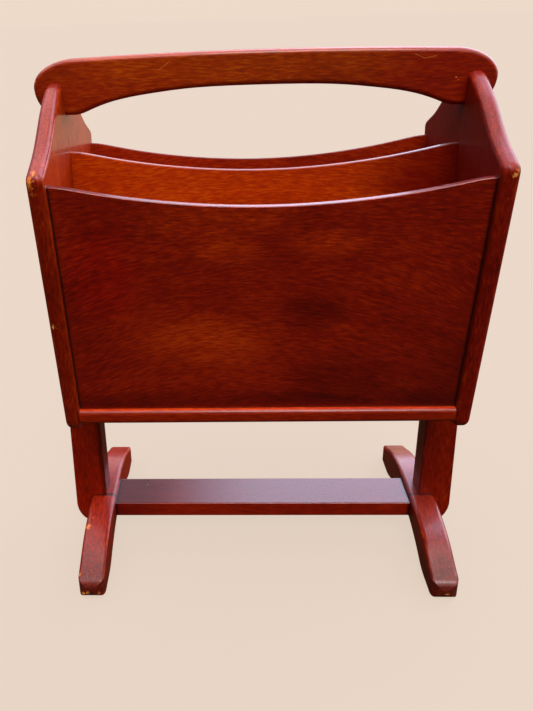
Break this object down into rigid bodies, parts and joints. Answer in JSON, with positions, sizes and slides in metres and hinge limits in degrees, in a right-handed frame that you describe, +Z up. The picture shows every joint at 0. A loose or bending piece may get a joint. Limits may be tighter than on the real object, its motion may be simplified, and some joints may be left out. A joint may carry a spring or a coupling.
{
  "type": "magazine rack",
  "caption": "Free-standing wooden magazine rack: leaning panels and a divider between ogee-topped end panels, an arched carrying handle, posts and arched feet.",
  "frame": {"origin": "on the floor under the middle of the rack", "axes": "+X along the handle towards the right-hand end, -Y towards the front, +Z up"},
  "size_m": [0.4656, 0.253, 0.5765],
  "materials": {
    "stained_mahogany": "red-brown mahogany stain under semi-gloss lacquer, worn golden on edges and toes",
    "mahogany_veneer": "fine horizontal dark figure under semi-gloss lacquer",
    "dowel_wood": "bare beech, hidden in the joints",
    "screw_steel": "dull zinc-plated steel",
    "stained_plug": "stained and lacquered like the posts, end grain showing"
  },
  "bodies": {
    "root": {"handle": "stained_mahogany", "front_panel": "mahogany_veneer", "centre_divider": "mahogany_veneer", "rear_panel": "mahogany_veneer", "bottom_shelf": "stained_mahogany", "stretcher": "stained_mahogany", "end_panel_left": "stained_mahogany", "end_panel_right": "stained_mahogany", "post_left": "stained_mahogany", "post_right": "stained_mahogany", "foot_left": "stained_mahogany", "foot_right": "stained_mahogany", "handle_dowels": "dowel_wood", "shelf_dowels": "dowel_wood", "foot_dowels": "dowel_wood", "stretcher_dowels": "dowel_wood", "post_screws": "screw_steel", "foot_screws": "screw_steel", "panel_screws": "screw_steel", "screw_plugs": "stained_plug"}
  },
  "joints": []
}
